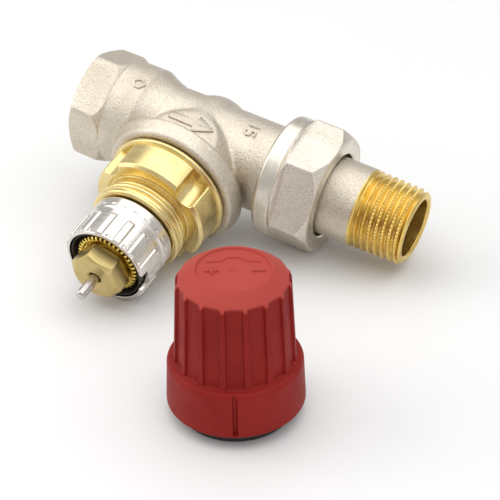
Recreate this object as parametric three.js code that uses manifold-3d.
// Straight thermostatic radiator valve, 1/2 inch, with its protective cap standing beside it.
// Millimetres, +Z up. The valve lies as it comes to rest on a table: on its union nut, the flange
// of its body and the rim of its setting ring. Inside the valve, X runs from inlet to tail and -Y
// runs out along the bonnet.
import * as THREE from 'three';
import { mergeVertices } from 'three/addons/utils/BufferGeometryUtils.js';
import Module from 'manifold-3d';

const wasm = await Module();
wasm.setup();

// ---------------------------------------------------------------- fits
const SEAM = 0.3;              // between faces that touch on the real valve
const SLIDING_FIT = 0.25;      // radial play between parts that turn or slide
const ROUND = 32;              // sides of the large round parts
const MEDIUM_ROUND = 24;       // sides of the setting sleeve
const SMALL_ROUND = 20;        // sides of the small round parts

// ---------------------------------------------------------------- body, along the pipe
const INLET_LENGTH = 34;       // valve centre to inlet end
const INLET_HEX_FLATS = 27;
const INLET_HEX_LENGTH = 9.5;
const INLET_COLLAR_RADIUS = 14.1;
const INLET_COLLAR_LENGTH = 9;
const INLET_CONE_LENGTH = 5;
const SOCKET_RADIUS = 9.5;     // Rp 1/2 inlet
const SOCKET_DEPTH = 14;
const PIPE_RADIUS = 11.8;
const PIPE_BORE = 9.3;
const UNION_START = 22.3;      // back of the union nut
const UNION_THREAD_RADIUS = 13.2;
const UNION_THREAD_LENGTH = 9.8;

// ---------------------------------------------------------------- body, along the bonnet
const BOSS_RADIUS = 15.6;      // behind the flange
const BOSS_WAIST = 12.1;       // where the boss leaves the pipe
const PAD_HEIGHT = 12.6;       // pipe axis to the flat that carries the flow arrow
const ARROW_OFFSET = 6.3;      // flow arrow, out from the pipe axis
const ARROW_HEIGHT = 0.4;
const FLANGE_RADIUS = 19.2;    // at its back, where the valve rests on it
const FLANGE_TAPER = 1.4;
const FLANGE_THICKNESS = 5;
const FLANGE_FACE = 18.3;      // pipe axis to the face that the insert seats on
const SEAT_HEIGHT = 3;         // valve seat, out from the pipe axis
const SEAT_HOLE_RADIUS = 4.8;
const CHAMBER_RADIUS = 10.2;
const CHAMBER_TOP = 10;
const CHAMBER_DEPTH = 4;       // behind the pipe axis
const BRIDGE_WALL = 2.2;       // partition that carries the seat

// ---------------------------------------------------------------- tail and union nut
const TAIL_FLANGE_LENGTH = 2.6;
const TAIL_RADIUS = 10.4;
const TAIL_BORE = 7.6;
const TAIL_END = 61;
const TAIL_THREAD_LENGTH = 13.8;
const THREAD_PITCH = 1.814;    // R 1/2
const THREAD_DEPTH = 1.05;
const NUT_FLATS = 30;
const NUT_COLLAR_RADIUS = 16;
const NUT_COLLAR_LENGTH = 4.7;
const NUT_FRONT_WALL = 2.7;
const NUT_HOLE_PLAY = 0.8;
const NUT_FRONT_CHAMFER = 2.4;
const HEX_CHAMFER = 1.2;

// ---------------------------------------------------------------- insert housing
const INSERT_THREAD_RADIUS = 11.2;
const HOUSING_SEAL_SECTION = 0.5;
const SLEEVE_RADIUS = 7.4;     // setting sleeve, and so the bore of the housing
const LIP_RADIUS = 16.2;
const LIP_THICKNESS = 1.3;
const LOBE_RADIUS = 15.5;
const LOBE_LENGTH = 8.7;
const LOBE_GROOVES = 4;
const LOBE_GROOVE_RADIUS = 3;
const NECK_RADIUS = 11.7;
const NECK_LENGTH = 5.4;
const NECK_RIB_HEIGHT = 0.55;
const COLLAR_RADIUS = 12.4;
const COLLAR_THICKNESS = 1.2;

// ---------------------------------------------------------------- setting ring and its sleeve
const RING_RADIUS = 11;
const RING_WALL = 0.8;
const RING_LENGTH = 13.5;
const RING_RIBS = 14;
const RING_RIB_TURN = 19.6;    // degrees, first rib from the pipe axis
const RING_RIB_WIDTH = 2;
const RING_RIB_HEIGHT = 0.45;
const RING_RIB_LENGTH = 7.4;
const RING_NOTCH_TURN = -3;    // degrees
const RING_NOTCH_WIDTH = 5.4;
const RING_NOTCH_DEPTH = 2.4;
const CORE_WALL = 1.1;
const CROWN_TEETH = 40;
const CROWN_THICKNESS = 3.2;
const CROWN_SETBACK = 0.8;     // crown face behind the ring's rim
const TOOTH_HEIGHT = 0.9;
const SLEEVE_BORE = 5.4;
const SPINDLE_SEAT = 20;       // partition of the sleeve, out from the pipe axis
const PARTITION = 8;
const CLIP_THICKNESS = 0.8;
const CLIP_HEIGHT = 1;

// ---------------------------------------------------------------- gland, spindle and closing cone
const GLAND_FLATS = 12.5;
const GLAND_HEX_LENGTH = 5.3;
const GLAND_STEM_LENGTH = 7.5;
const PIN_RADIUS = 1.3;
const PIN_REACH = 6.5;         // pin tip beyond the gland
const PIN_TRAVEL = 2.5;
const SPINDLE_RADIUS = 1.7;
const SPINDLE_COLLAR_RADIUS = 4.4;
const SPINDLE_COLLAR_THICKNESS = 1.6;
const CONE_RADIUS = 6;
const CONE_THICKNESS = 1.8;
const SEAL_THICKNESS = 1.6;
const O_RING_SECTION = 0.65;   // radius of an O-ring's section

// ---------------------------------------------------------------- springs
const RETURN_WIRE = 0.4;
const RETURN_COILS = 6.5;
const RING_WIRE = 0.3;
const RING_COILS = 3;

// ---------------------------------------------------------------- protective cap
const CAP_X = 46.4;            // from the valve's centre
const CAP_Y = -68.8;
const CAP_HEIGHT = 37.6;
const CAP_COLLAR_RADIUS = 15.8;
const CAP_COLLAR_HEIGHT = 14.6;
const CAP_GRIP_RADIUS = 13.8;
const CAP_GRIP_TAPER = 1;
const CAP_GRIP_TOP = 34.6;
const CAP_TOP_RADIUS = 9.5;
const CAP_DISC_RADIUS = 8.15;
const CAP_DISC_DEPTH = 0.4;
const CAP_FLUTES = 16;
const CAP_FLUTE_TURN = 6.4;    // degrees, first flute from +X
const CAP_FLUTE_WIDTH = 3.9;
const CAP_FLUTE_DEPTH = 0.7;
const CAP_WALL = 2.1;
const CAP_MARK_TURN = -62;     // degrees
const CAP_MARK_WIDTH = 1.1;
const CAP_MARK_DEPTH = 0.8;
const CAP_PRESSER_RADIUS = 3.4;
const CAP_PRESSER_LENGTH = 12;
const BASE_STAND = 3.1;        // base ring showing below the cap
const BASE_RADIUS = 13.1;
const BASE_WALL = 1.2;
const BASE_HEIGHT = 11.8;

// ---------------------------------------------------------------- places worked out from the sizes
const UNION_THREAD_END = UNION_START + UNION_THREAD_LENGTH;
const TAIL_START = UNION_THREAD_END + SEAM;
const TAIL_SHOULDER = TAIL_START + TAIL_FLANGE_LENGTH;
const NUT_SHOULDER = TAIL_SHOULDER + SEAM;
const NUT_END = NUT_SHOULDER + NUT_FRONT_WALL;
const HOUSING_BORE = SLEEVE_RADIUS + SLIDING_FIT;
const HOUSING_START = CHAMBER_TOP + SEAM;
const LIP_START = FLANGE_FACE + SEAM;
const LOBE_START = LIP_START + LIP_THICKNESS;
const NECK_START = LOBE_START + LOBE_LENGTH;
const COLLAR_START = NECK_START + NECK_LENGTH;
const HOUSING_END = COLLAR_START + COLLAR_THICKNESS;
const RING_START = HOUSING_END + SEAM;
const RING_END = RING_START + RING_LENGTH;
const RING_BORE = RING_RADIUS - RING_WALL;
const CORE_RADIUS = RING_BORE - SEAM;
const CORE_BORE = CORE_RADIUS - CORE_WALL;
const CROWN_RADIUS = CORE_BORE - SLIDING_FIT;
const CROWN_END = RING_END - CROWN_SETBACK;
const CROWN_START = CROWN_END - CROWN_THICKNESS;
const CLIP_START = HOUSING_END + SEAM;
const CORE_START = CLIP_START + CLIP_THICKNESS + SEAM;
const CORE_SHOULDER = CORE_START + 1.4;
const GLAND_STEM_RADIUS = SLEEVE_BORE - SEAM;
const GLAND_SHOULDER = CROWN_END + SEAM;
const GLAND_END = GLAND_SHOULDER + GLAND_HEX_LENGTH;
const GLAND_START = GLAND_SHOULDER - GLAND_STEM_LENGTH;
const PIN_END = GLAND_END + PIN_REACH;
const PIN_HOLE = PIN_RADIUS + SLIDING_FIT;
const O_RING_CENTRE = PIN_HOLE + O_RING_SECTION;
const O_RING_POCKET = O_RING_CENTRE + O_RING_SECTION + SEAM;
const POCKET_DEPTH = 2 * O_RING_SECTION + 4 * SEAM + 1;
const COLLAR_TOP = GLAND_START - SEAM;
const SPINDLE_END = COLLAR_TOP;
const SEAL_FACE = SEAT_HEIGHT + PIN_TRAVEL + SEAM / 3;
const CONE_START = SEAL_FACE + SEAL_THICKNESS + SEAM;
const CONE_END = CONE_START + CONE_THICKNESS;
const SLEEVE_START = SEAT_HEIGHT + 2 * SEAM;
const THROTTLE_BORE = CONE_RADIUS + SLIDING_FIT;
const PARTITION_START = SPINDLE_SEAT - PARTITION;

// ---------------------------------------------------------------- materials
function paint(color, roughness, metalness) {
  return new THREE.MeshStandardMaterial({ color, roughness, metalness });
}
const nickel = paint(0xcbc5ba, 0.42, 1);
const brass = paint(0xdcb44c, 0.24, 1);
const silver = paint(0xd8d6d3, 0.22, 1);
const steel = paint(0xb9b6b1, 0.2, 1);
const redPlastic = paint(0xb23a33, 0.48, 0);
const blackPlastic = paint(0x1b1a1a, 0.5, 0);
const rubber = paint(0x141414, 0.7, 0);

// ---------------------------------------------------------------- shape helpers
// A solid of revolution about Z from [radius, height] points, going up its outer side.
function revolve(points, sides = ROUND) {
  const outline = points.map(([radius, height]) => new THREE.Vector2(radius, height));
  const first = outline[0];
  const last = outline[outline.length - 1];
  if (first.x > 0 || last.x > 0) {
    outline.push(first.clone());
  }
  return new THREE.LatheGeometry(outline, sides).rotateX(Math.PI / 2);
}

function tube(bore, radius, from, to, sides = ROUND) {
  return revolve([[bore, from], [radius, from], [radius, to], [bore, to]], sides);
}

function rod(radius, from, to, sides = ROUND) {
  return revolve([[0, from], [radius, from], [radius, to], [0, to]], sides);
}

function oRing(centre, section, height) {
  return new THREE.TorusGeometry(centre, section, 6, 24).translate(0, 0, height);
}

// A hexagonal bar about Z with its ends turned down at the corners.
function hexBar(flats, from, to, turn, startChamfer, endChamfer) {
  const corner = flats / Math.sqrt(3);
  const bar = new THREE.CylinderGeometry(corner, corner, to - from, 6);
  bar.rotateX(Math.PI / 2).rotateZ(turn).translate(0, 0, (from + to) / 2);
  const edge = corner + SEAM;
  const turned = revolve([
    [0, from], [flats / 2, from], [edge, from + startChamfer],
    [edge, to - endChamfer], [flats / 2, to], [0, to],
  ]);
  return solid(bar).intersect(solid(turned));
}

function solid(geometry) {
  const bare = new THREE.BufferGeometry();
  bare.setAttribute('position', geometry.getAttribute('position'));
  bare.setIndex(geometry.getIndex());
  const merged = mergeVertices(bare, 1e-4);
  const corners = merged.getIndex().array;
  const kept = [];
  for (let i = 0; i < corners.length; i += 3) {
    const [a, b, c] = [corners[i], corners[i + 1], corners[i + 2]];
    if (a !== b && b !== c && c !== a) {
      kept.push(a, b, c);
    }
  }
  return new wasm.Manifold(new wasm.Mesh({
    numProp: 3,
    vertProperties: new Float32Array(merged.getAttribute('position').array),
    triVerts: new Uint32Array(kept),
  }));
}

function join(first, ...others) {
  return others.reduce((whole, piece) => whole.add(piece), first);
}

function cut(first, ...others) {
  return others.reduce((whole, piece) => whole.subtract(piece), first);
}

function toGeometry(shape) {
  const { vertProperties, triVerts } = shape.getMesh();
  const geometry = new THREE.BufferGeometry();
  geometry.setAttribute('position', new THREE.BufferAttribute(vertProperties, 3));
  geometry.setIndex(new THREE.BufferAttribute(triVerts, 1));
  geometry.computeVertexNormals();
  return geometry;
}

function addMesh(group, name, shape, material) {
  const geometry = shape.isBufferGeometry ? shape : toGeometry(shape);
  const mesh = new THREE.Mesh(geometry, material);
  mesh.name = name;
  group.add(mesh);
  return mesh;
}

function alongPipe(geometry) {
  return geometry.rotateY(Math.PI / 2);
}

function alongBonnet(geometry) {
  return geometry.rotateX(Math.PI / 2);
}

// A box from its lowest corner to its highest.
function block(low, high) {
  const size = high.map((value, axis) => value - low[axis]);
  const centre = high.map((value, axis) => (value + low[axis]) / 2);
  return new THREE.BoxGeometry(...size).translate(...centre);
}

class Helix extends THREE.Curve {
  constructor(radius, from, to, coils) {
    super();
    Object.assign(this, { radius, from, to, coils });
  }

  getPoint(t, target = new THREE.Vector3()) {
    const angle = 2 * Math.PI * this.coils * t;
    const height = THREE.MathUtils.lerp(this.from, this.to, t);
    return target.set(this.radius * Math.cos(angle), this.radius * Math.sin(angle), height);
  }
}

function coilSpring(radius, wire, from, to, coils) {
  const section = new THREE.Shape().absarc(0, 0, wire, 0, 2 * Math.PI);
  return new THREE.ExtrudeGeometry(section, {
    steps: Math.round(14 * coils),
    curveSegments: 3,
    extrudePath: new Helix(radius, from + wire, to - wire, coils),
    bevelEnabled: false,
  });
}

// ---------------------------------------------------------------- body
function flowArrow() {
  const tail = -6.4;
  const neck = 1.1;
  const tip = 6.5;
  const shaft = 1.2;
  const barb = 2.8;
  const sunk = 0.6;
  const arrow = new THREE.Shape();
  arrow.moveTo(tail, -shaft);
  arrow.lineTo(neck, -shaft);
  arrow.lineTo(neck, -barb);
  arrow.lineTo(tip, 0);
  arrow.lineTo(neck, barb);
  arrow.lineTo(neck, shaft);
  arrow.lineTo(tail, shaft);
  arrow.closePath();
  const plate = new THREE.ExtrudeGeometry(arrow, { depth: sunk + ARROW_HEIGHT, bevelEnabled: false });
  return plate.translate(0, -ARROW_OFFSET, PAD_HEIGHT - sunk);
}

function bodyOutside() {
  const hexEnd = -INLET_LENGTH + INLET_HEX_LENGTH;
  const collarEnd = hexEnd + INLET_COLLAR_LENGTH;
  const corner = INLET_HEX_FLATS / Math.sqrt(3);
  const hex = new THREE.CylinderGeometry(corner, corner, INLET_HEX_LENGTH + 2, 6);
  hex.rotateX(Math.PI / 2).rotateZ(Math.PI / 6).translate(0, 0, hexEnd - INLET_HEX_LENGTH / 2 + 1);
  const hexTurned = revolve([
    [0, -INLET_LENGTH], [INLET_HEX_FLATS / 2, -INLET_LENGTH], [corner, -INLET_LENGTH + HEX_CHAMFER],
    [corner, hexEnd - 3.5], [INLET_COLLAR_RADIUS, hexEnd], [0, hexEnd],
  ]);
  const barrel = revolve([
    [0, hexEnd - 2.5], [INLET_COLLAR_RADIUS - 1, hexEnd - 2.5], [INLET_COLLAR_RADIUS, hexEnd - 1.5],
    [INLET_COLLAR_RADIUS, collarEnd], [INLET_COLLAR_RADIUS - 0.8, collarEnd + 1.4],
    [PIPE_RADIUS + 0.5, collarEnd + INLET_CONE_LENGTH - 1.6], [PIPE_RADIUS, collarEnd + INLET_CONE_LENGTH],
    [PIPE_RADIUS, UNION_START], [UNION_THREAD_RADIUS - 0.4, UNION_START],
    [UNION_THREAD_RADIUS, UNION_START + 0.6], [UNION_THREAD_RADIUS, UNION_THREAD_END - 1],
    [UNION_THREAD_RADIUS - 1, UNION_THREAD_END], [0, UNION_THREAD_END],
  ]);
  const flangeBack = FLANGE_FACE - FLANGE_THICKNESS;
  const boss = revolve([
    [0, -PIPE_RADIUS - 0.5], [7, -PIPE_RADIUS + 0.2], [BOSS_WAIST - 1.5, -PIPE_RADIUS + 5],
    [BOSS_WAIST, -2], [BOSS_WAIST + 0.2, 1.5], [BOSS_RADIUS - 1.5, 5], [BOSS_RADIUS - 0.5, 8.5],
    [BOSS_RADIUS, 11.5], [BOSS_RADIUS, flangeBack + 1], [0, flangeBack + 1],
  ]);
  const trim = block([-40, -40, -PAD_HEIGHT], [40, 40, PAD_HEIGHT]);
  const flange = revolve([
    [0, flangeBack], [FLANGE_RADIUS - 1, flangeBack], [FLANGE_RADIUS, flangeBack + 0.7],
    [FLANGE_RADIUS - FLANGE_TAPER, FLANGE_FACE - 0.3], [FLANGE_RADIUS - FLANGE_TAPER - 0.3, FLANGE_FACE],
    [0, FLANGE_FACE],
  ]);
  return join(
    solid(alongPipe(hex)).intersect(solid(alongPipe(hexTurned))),
    solid(alongPipe(barrel)),
    solid(alongBonnet(boss)).intersect(solid(trim)),
    solid(alongBonnet(flange)),
    solid(flowArrow()),
  );
}

function bodyHollow() {
  const socketEnd = -INLET_LENGTH + SOCKET_DEPTH;
  const bore = revolve([
    [0, -INLET_LENGTH - 1], [SOCKET_RADIUS + 1.7, -INLET_LENGTH - 1], [SOCKET_RADIUS, -INLET_LENGTH + 0.9],
    [SOCKET_RADIUS, socketEnd], [PIPE_BORE, socketEnd + 0.4], [PIPE_BORE, UNION_THREAD_END + 1],
    [0, UNION_THREAD_END + 1],
  ]);
  const chamber = rod(CHAMBER_RADIUS, -CHAMBER_DEPTH, CHAMBER_TOP + 1);
  return join(solid(alongPipe(bore)), solid(alongBonnet(chamber)));
}

// The S-shaped wall across the body: up on the inlet side, level under the seat, down on the outlet side.
function seatBridge() {
  const overlap = 0.5;
  const plate = CHAMBER_RADIUS + overlap;
  const reach = plate + overlap;
  const seatBack = -SEAT_HEIGHT + BRIDGE_WALL;
  const level = block([-plate, -SEAT_HEIGHT, -plate], [plate, seatBack, plate]);
  const inletWall = block([-reach, -CHAMBER_TOP - 2, -reach], [BRIDGE_WALL - reach, seatBack - overlap, reach]);
  const outletWall = block([reach - BRIDGE_WALL, overlap - SEAT_HEIGHT, -reach], [reach, PIPE_RADIUS - 1, reach]);
  return join(solid(level), solid(inletWall), solid(outletWall));
}

function valveBody() {
  const outside = bodyOutside();
  const seatHole = rod(SEAT_HOLE_RADIUS, -1, SEAT_HEIGHT + 1, SMALL_ROUND);
  const insertHole = rod(INSERT_THREAD_RADIUS + SEAM, CHAMBER_TOP, FLANGE_FACE + 1);
  const walls = join(cut(outside, bodyHollow()), seatBridge().intersect(outside));
  return cut(walls, solid(alongBonnet(seatHole)), solid(alongBonnet(insertHole)));
}

// ---------------------------------------------------------------- union, about Z along the pipe
function tailpiece() {
  const threadStart = TAIL_END - TAIL_THREAD_LENGTH;
  const outline = [
    [TAIL_BORE, TAIL_START], [UNION_THREAD_RADIUS - 0.8, TAIL_START],
    [UNION_THREAD_RADIUS - 0.3, TAIL_START + 0.5], [UNION_THREAD_RADIUS - 0.3, TAIL_SHOULDER - 0.6],
    [TAIL_RADIUS, TAIL_SHOULDER], [TAIL_RADIUS, threadStart - 0.8], [TAIL_RADIUS - THREAD_DEPTH, threadStart],
  ];
  const turns = Math.floor((TAIL_THREAD_LENGTH - 1) / THREAD_PITCH);
  for (let turn = 0; turn < turns; turn += 1) {
    const height = threadStart + THREAD_PITCH * turn;
    outline.push([TAIL_RADIUS, height + THREAD_PITCH / 2]);
    outline.push([TAIL_RADIUS - THREAD_DEPTH, height + THREAD_PITCH]);
  }
  outline.push([TAIL_RADIUS - THREAD_DEPTH, TAIL_END - 0.2]);
  outline.push([TAIL_RADIUS - THREAD_DEPTH - 0.2, TAIL_END]);
  outline.push([TAIL_BORE, TAIL_END]);
  return revolve(outline);
}

function unionNut() {
  const collarEnd = UNION_START + NUT_COLLAR_LENGTH;
  const collar = revolve([
    [0, UNION_START], [NUT_COLLAR_RADIUS - 0.8, UNION_START], [NUT_COLLAR_RADIUS, UNION_START + 0.8],
    [NUT_COLLAR_RADIUS, collarEnd + 0.5], [0, collarEnd + 0.5],
  ]);
  const hex = hexBar(NUT_FLATS, collarEnd, NUT_END, 0, HEX_CHAMFER, NUT_FRONT_CHAMFER);
  const bore = UNION_THREAD_RADIUS + SEAM;
  const hole = TAIL_RADIUS + NUT_HOLE_PLAY;
  const inside = revolve([
    [0, UNION_START - 1], [bore + 0.8, UNION_START - 1], [bore, UNION_START + 0.8], [bore, NUT_SHOULDER],
    [hole, NUT_SHOULDER], [hole, NUT_END + 1], [0, NUT_END + 1],
  ]);
  return cut(join(solid(collar), hex), solid(inside));
}

// ---------------------------------------------------------------- insert, about Z along the bonnet
function insertHousing() {
  const ribs = NECK_START + NECK_LENGTH * 0.5;
  const sealSeat = LIP_START - 4 * HOUSING_SEAL_SECTION;
  const outline = revolve([
    [HOUSING_BORE, HOUSING_START], [INSERT_THREAD_RADIUS - 0.6, HOUSING_START],
    [INSERT_THREAD_RADIUS, HOUSING_START + 0.6], [INSERT_THREAD_RADIUS, sealSeat],
    [INSERT_THREAD_RADIUS - 2.2 * HOUSING_SEAL_SECTION, sealSeat],
    [INSERT_THREAD_RADIUS - 2.2 * HOUSING_SEAL_SECTION, LIP_START],
    [LIP_RADIUS - 0.3, LIP_START], [LIP_RADIUS, LIP_START + 0.3], [LIP_RADIUS, LOBE_START - 0.3],
    [LIP_RADIUS - 0.3, LOBE_START], [LOBE_RADIUS, LOBE_START], [LOBE_RADIUS, NECK_START - 0.5],
    [LOBE_RADIUS - 0.5, NECK_START], [NECK_RADIUS, NECK_START], [NECK_RADIUS, ribs],
    [NECK_RADIUS + NECK_RIB_HEIGHT, ribs + 0.3], [NECK_RADIUS + NECK_RIB_HEIGHT, ribs + 0.9],
    [NECK_RADIUS, ribs + 1.2], [NECK_RADIUS - 0.4, COLLAR_START - 0.2], [COLLAR_RADIUS - 0.4, COLLAR_START],
    [COLLAR_RADIUS, COLLAR_START + 0.3], [COLLAR_RADIUS, HOUSING_END - 0.3],
    [COLLAR_RADIUS - 0.3, HOUSING_END], [HOUSING_BORE, HOUSING_END],
  ]);
  const grooves = [];
  for (let i = 0; i < LOBE_GROOVES; i += 1) {
    const groove = rod(LOBE_GROOVE_RADIUS, LOBE_START + 0.2, NECK_START + 1, 16);
    groove.translate(LOBE_RADIUS + 0.6, 0, 0).rotateZ(2 * Math.PI * (i + 0.5) / LOBE_GROOVES);
    grooves.push(solid(groove));
  }
  return cut(solid(outline), ...grooves);
}

function settingSleeve() {
  const spindleHole = SPINDLE_RADIUS + SLIDING_FIT;
  const sealHeight = PARTITION_START + PARTITION / 2;
  const sealFloor = SLEEVE_RADIUS - 2 * O_RING_SECTION;
  const clipFloor = SLEEVE_RADIUS - 0.5;
  const crownRoot = CROWN_RADIUS - TOOTH_HEIGHT - 0.05;
  const outline = revolve([
    [THROTTLE_BORE, SLEEVE_START], [SLEEVE_RADIUS, SLEEVE_START],
    [SLEEVE_RADIUS, sealHeight - 2 * O_RING_SECTION], [sealFloor, sealHeight - 2 * O_RING_SECTION],
    [sealFloor, sealHeight + 2 * O_RING_SECTION], [SLEEVE_RADIUS, sealHeight + 2 * O_RING_SECTION],
    [SLEEVE_RADIUS, CLIP_START - 0.1], [clipFloor, CLIP_START - 0.1],
    [clipFloor, CLIP_START + CLIP_THICKNESS + 0.1], [SLEEVE_RADIUS, CLIP_START + CLIP_THICKNESS + 0.1],
    [SLEEVE_RADIUS, CROWN_START], [crownRoot, CROWN_START + 0.2], [crownRoot, CROWN_END],
    [SLEEVE_BORE, CROWN_END], [SLEEVE_BORE, SPINDLE_SEAT], [spindleHole, SPINDLE_SEAT],
    [spindleHole, PARTITION_START], [THROTTLE_BORE, PARTITION_START],
  ], MEDIUM_ROUND);
  const gear = new THREE.Shape();
  for (let tooth = 0; tooth < CROWN_TEETH; tooth += 1) {
    for (const [share, radius] of [[0, 0], [0.16, 1], [0.5, 1], [0.66, 0]]) {
      const angle = 2 * Math.PI * (tooth + share) / CROWN_TEETH;
      const reach = CROWN_RADIUS - TOOTH_HEIGHT * (1 - radius);
      const point = [reach * Math.cos(angle), reach * Math.sin(angle)];
      if (tooth === 0 && share === 0) {
        gear.moveTo(...point);
      } else {
        gear.lineTo(...point);
      }
    }
  }
  gear.closePath();
  gear.holes.push(new THREE.Path().absarc(0, 0, SLEEVE_BORE + 0.4, 0, 2 * Math.PI, true));
  const crown = new THREE.ExtrudeGeometry(gear, {
    depth: CROWN_THICKNESS, bevelEnabled: false, curveSegments: 10,
  });
  crown.translate(0, 0, CROWN_START);
  const window = new THREE.BoxGeometry(2 * SLEEVE_RADIUS, SLEEVE_RADIUS, 4.4);
  window.translate(SLEEVE_RADIUS, 0, SLEEVE_START + 2.2 - 1);
  return cut(join(solid(outline), solid(crown)), solid(window));
}

function sleeveClip() {
  const inner = SLEEVE_RADIUS - 0.2;
  const ring = tube(inner, inner + CLIP_HEIGHT, CLIP_START, CLIP_START + CLIP_THICKNESS, SMALL_ROUND);
  const mouth = new THREE.BoxGeometry(4, 3, 4).translate(inner, 0, CLIP_START);
  return cut(solid(ring), solid(mouth));
}

function settingRing() {
  const shell = revolve([
    [RING_BORE, RING_START], [RING_RADIUS - 0.2, RING_START], [RING_RADIUS + 0.25, RING_START + 0.5],
    [RING_RADIUS + 0.25, RING_START + 3.6], [RING_RADIUS, RING_START + 4.2], [RING_RADIUS, RING_END - 0.2],
    [RING_RADIUS - 0.2, RING_END], [RING_BORE, RING_END],
  ]);
  const ribs = [];
  for (let i = 0; i < RING_RIBS; i += 1) {
    const depth = RING_WALL / 2 + RING_RIB_HEIGHT;
    const rib = new THREE.BoxGeometry(depth, RING_RIB_WIDTH, RING_RIB_LENGTH);
    rib.translate(RING_RADIUS + RING_RIB_HEIGHT - depth / 2, 0, RING_END - 0.6 - RING_RIB_LENGTH / 2);
    rib.rotateZ(2 * Math.PI * i / RING_RIBS + THREE.MathUtils.degToRad(RING_RIB_TURN));
    ribs.push(solid(rib));
  }
  const notch = new THREE.BoxGeometry(4, RING_NOTCH_WIDTH, RING_NOTCH_DEPTH * 2);
  notch.translate(RING_RADIUS, 0, RING_END).rotateZ(THREE.MathUtils.degToRad(RING_NOTCH_TURN));
  return cut(join(solid(shell), ...ribs), solid(notch));
}

function ringCore() {
  const bore = SLEEVE_RADIUS + SLIDING_FIT;
  return revolve([
    [bore, CORE_START], [CORE_RADIUS, CORE_START], [CORE_RADIUS, RING_END - 0.3],
    [CORE_RADIUS - 0.3, RING_END - 0.3], [CORE_BORE, CROWN_START + 1], [CORE_BORE, CORE_SHOULDER],
    [bore, CORE_SHOULDER],
  ]);
}

function glandNut() {
  const stem = revolve([
    [0, GLAND_START], [GLAND_STEM_RADIUS, GLAND_START], [GLAND_STEM_RADIUS, GLAND_SHOULDER + 0.5],
    [0, GLAND_SHOULDER + 0.5],
  ], SMALL_ROUND);
  const hex = hexBar(GLAND_FLATS, GLAND_SHOULDER, GLAND_END, 0.3, 0.3, 1);
  const inside = revolve([
    [0, GLAND_START - 1], [O_RING_POCKET, GLAND_START - 1], [O_RING_POCKET, GLAND_START + POCKET_DEPTH],
    [PIN_HOLE, GLAND_START + POCKET_DEPTH], [PIN_HOLE, GLAND_END + 1], [0, GLAND_END + 1],
  ], SMALL_ROUND);
  return cut(join(solid(stem), hex), solid(inside));
}

function spindle() {
  const collarStart = COLLAR_TOP - SPINDLE_COLLAR_THICKNESS;
  return revolve([
    [0, CONE_END + SEAM], [SPINDLE_RADIUS, CONE_END + SEAM], [SPINDLE_RADIUS, collarStart],
    [SPINDLE_COLLAR_RADIUS, collarStart], [SPINDLE_COLLAR_RADIUS, SPINDLE_END], [0, SPINDLE_END],
  ], SMALL_ROUND);
}

function pressurePin() {
  return revolve([
    [0, SPINDLE_END + SEAM], [PIN_RADIUS, SPINDLE_END + SEAM], [PIN_RADIUS, PIN_END - 0.5],
    [PIN_RADIUS - 0.5, PIN_END], [0, PIN_END],
  ], SMALL_ROUND);
}

function closingCone() {
  const stud = 1.8;
  return revolve([
    [0, SEAL_FACE + SEAM], [stud, SEAL_FACE + SEAM], [stud, CONE_START], [CONE_RADIUS, CONE_START],
    [CONE_RADIUS, CONE_END - 0.4], [CONE_RADIUS - 0.4, CONE_END], [0, CONE_END],
  ], SMALL_ROUND);
}

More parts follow.
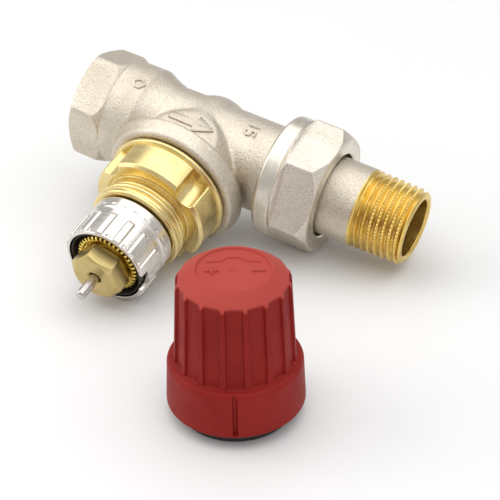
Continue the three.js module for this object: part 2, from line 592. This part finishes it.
// ---------------------------------------------------------------- protective cap, about Z
function capShell() {
  const gripFoot = CAP_GRIP_RADIUS;
  const gripTop = CAP_GRIP_RADIUS - CAP_GRIP_TAPER;
  const outside = revolve([
    [0, BASE_STAND], [CAP_COLLAR_RADIUS, BASE_STAND], [CAP_COLLAR_RADIUS - 0.5, CAP_COLLAR_HEIGHT - 0.8],
    [CAP_COLLAR_RADIUS - 1.2, CAP_COLLAR_HEIGHT], [gripFoot, CAP_COLLAR_HEIGHT + 0.3],
    [gripTop, CAP_GRIP_TOP], [CAP_TOP_RADIUS, CAP_HEIGHT - 0.5],
    [CAP_TOP_RADIUS - 0.7, CAP_HEIGHT], [CAP_DISC_RADIUS, CAP_HEIGHT],
    [CAP_DISC_RADIUS, CAP_HEIGHT - CAP_DISC_DEPTH], [0, CAP_HEIGHT - CAP_DISC_DEPTH],
  ]);
  const ledge = BASE_HEIGHT + SEAM;
  const collarBore = BASE_RADIUS + SLIDING_FIT;
  const presserEnd = CAP_HEIGHT - CAP_WALL - CAP_PRESSER_LENGTH;
  const inside = revolve([
    [0, BASE_STAND - 1], [collarBore, BASE_STAND - 1], [collarBore, ledge], [gripFoot - CAP_WALL, ledge],
    [gripTop - CAP_WALL, CAP_GRIP_TOP - CAP_WALL], [CAP_TOP_RADIUS - CAP_WALL, CAP_HEIGHT - CAP_WALL - 1],
    [CAP_PRESSER_RADIUS + 1, CAP_HEIGHT - CAP_WALL - 1], [CAP_PRESSER_RADIUS, CAP_HEIGHT - CAP_WALL - 2],
    [CAP_PRESSER_RADIUS, presserEnd], [0, presserEnd],
  ]);
  const flutes = [];
  const low = CAP_COLLAR_HEIGHT + 0.3;
  const taper = Math.atan2(CAP_GRIP_TAPER, CAP_GRIP_TOP - low);
  const cutter = CAP_FLUTE_WIDTH;
  for (let i = 0; i < CAP_FLUTES; i += 1) {
    const flute = new THREE.BoxGeometry(cutter, CAP_FLUTE_WIDTH, CAP_HEIGHT);
    flute.translate(cutter / 2, 0, CAP_HEIGHT / 2).rotateY(-taper);
    flute.translate(CAP_GRIP_RADIUS - CAP_FLUTE_DEPTH, 0, low);
    flute.rotateZ(2 * Math.PI * i / CAP_FLUTES + THREE.MathUtils.degToRad(CAP_FLUTE_TURN));
    flutes.push(solid(flute));
  }
  const below = rod(CAP_COLLAR_RADIUS + cutter, 0, low);
  const mark = new THREE.BoxGeometry(2 * CAP_MARK_DEPTH + 1, CAP_MARK_WIDTH, CAP_COLLAR_HEIGHT);
  mark.translate(CAP_COLLAR_RADIUS + 0.5, 0, BASE_STAND + 1 + CAP_COLLAR_HEIGHT / 2);
  mark.rotateZ(THREE.MathUtils.degToRad(CAP_MARK_TURN));
  const cutters = join(...flutes).subtract(solid(below));
  return cut(solid(outside), solid(inside), cutters, solid(mark));
}

function capBase() {
  return revolve([
    [BASE_RADIUS - BASE_WALL, 0], [BASE_RADIUS - 0.4, 0], [BASE_RADIUS, 0.4], [BASE_RADIUS, BASE_HEIGHT],
    [BASE_RADIUS - BASE_WALL, BASE_HEIGHT],
  ]);
}

// ---------------------------------------------------------------- assembly
const valve = new THREE.Group();
const pipe = new THREE.Group();
const bonnet = new THREE.Group();
pipe.rotation.y = Math.PI / 2;
bonnet.rotation.x = Math.PI / 2;
valve.add(pipe, bonnet);

const body = addMesh(valve, 'valve_body', valveBody(), nickel);
addMesh(pipe, 'tailpiece', tailpiece(), nickel);
const nut = addMesh(pipe, 'union_nut', unionNut(), nickel);

addMesh(bonnet, 'insert_housing', insertHousing(), brass);
addMesh(bonnet, 'setting_sleeve', settingSleeve(), brass);
const housingSealHeight = LIP_START - 2 * HOUSING_SEAL_SECTION;
const housingSealCentre = INSERT_THREAD_RADIUS - HOUSING_SEAL_SECTION + 0.1;
addMesh(bonnet, 'housing_o_ring', oRing(housingSealCentre, HOUSING_SEAL_SECTION, housingSealHeight), rubber);
const sleeveSealHeight = PARTITION_START + PARTITION / 2;
const sleeveSealCentre = SLEEVE_RADIUS - O_RING_SECTION + 0.05;
addMesh(bonnet, 'sleeve_o_ring', oRing(sleeveSealCentre, O_RING_SECTION, sleeveSealHeight), rubber);
addMesh(bonnet, 'sleeve_clip', sleeveClip(), steel);
const ring = addMesh(bonnet, 'setting_ring', settingRing(), silver);
addMesh(bonnet, 'ring_core', ringCore(), blackPlastic);
const ringSpringRadius = SLEEVE_RADIUS + SLIDING_FIT + RING_WIRE;
const ringSpring = coilSpring(ringSpringRadius, RING_WIRE, CORE_SHOULDER + 0.1, CROWN_START - 0.1, RING_COILS);
addMesh(bonnet, 'ring_spring', ringSpring, steel);
addMesh(bonnet, 'gland_nut', glandNut(), brass);
const glandRingHeight = GLAND_START + POCKET_DEPTH - SEAM - O_RING_SECTION;
addMesh(bonnet, 'gland_o_ring', oRing(O_RING_CENTRE, O_RING_SECTION, glandRingHeight), rubber);
const washerEnd = glandRingHeight - O_RING_SECTION - SEAM;
const washer = tube(PIN_HOLE, O_RING_POCKET - 0.2, GLAND_START + 0.1, washerEnd, SMALL_ROUND);
addMesh(bonnet, 'gland_washer', washer, brass);
addMesh(bonnet, 'pressure_pin', pressurePin(), steel);
addMesh(bonnet, 'spindle', spindle(), brass);
const springRadius = SPINDLE_COLLAR_RADIUS - RETURN_WIRE - 0.2;
const springEnd = COLLAR_TOP - SPINDLE_COLLAR_THICKNESS - 0.1;
const returnSpring = coilSpring(springRadius, RETURN_WIRE, SPINDLE_SEAT + 0.1, springEnd, RETURN_COILS);
addMesh(bonnet, 'return_spring', returnSpring, steel);
addMesh(bonnet, 'closing_cone', closingCone(), brass);
const sealRing = tube(1.8 + SEAM, CONE_RADIUS - 0.3, SEAL_FACE, SEAL_FACE + SEAL_THICKNESS, SMALL_ROUND);
addMesh(bonnet, 'cone_seal', sealRing, rubber);

const cap = new THREE.Group();
cap.position.set(CAP_X, CAP_Y, 0);
addMesh(cap, 'cap_shell', capShell(), redPlastic);
addMesh(cap, 'cap_base', capBase(), blackPlastic);

// ---------------------------------------------------------------- resting pose
function lowest(mesh) {
  valve.updateMatrixWorld(true);
  return new THREE.Box3().setFromObject(mesh, true).min.z;
}

// Tips the valve about one of its axes until the mesh reaches as low as the body.
function tipOnto(mesh, axis, most) {
  let low = 0;
  let high = most;
  for (let step = 0; step < 30; step += 1) {
    valve.rotation[axis] = (low + high) / 2;
    if (lowest(mesh) > lowest(body)) {
      low = valve.rotation[axis];
    } else {
      high = valve.rotation[axis];
    }
  }
}
valve.rotation.order = 'YXZ';
for (let round = 0; round < 8; round += 1) {
  tipOnto(ring, 'x', 0.5);
  tipOnto(nut, 'y', 0.4);
}
valve.position.z = -lowest(body);

const part = new THREE.Group();
part.add(valve, cap);
part.updateMatrixWorld(true);
const extent = new THREE.Box3().setFromObject(part, true);
const middle = extent.getCenter(new THREE.Vector3());
for (const group of [valve, cap]) {
  group.position.x -= middle.x;
  group.position.y -= middle.y;
}

export default part;
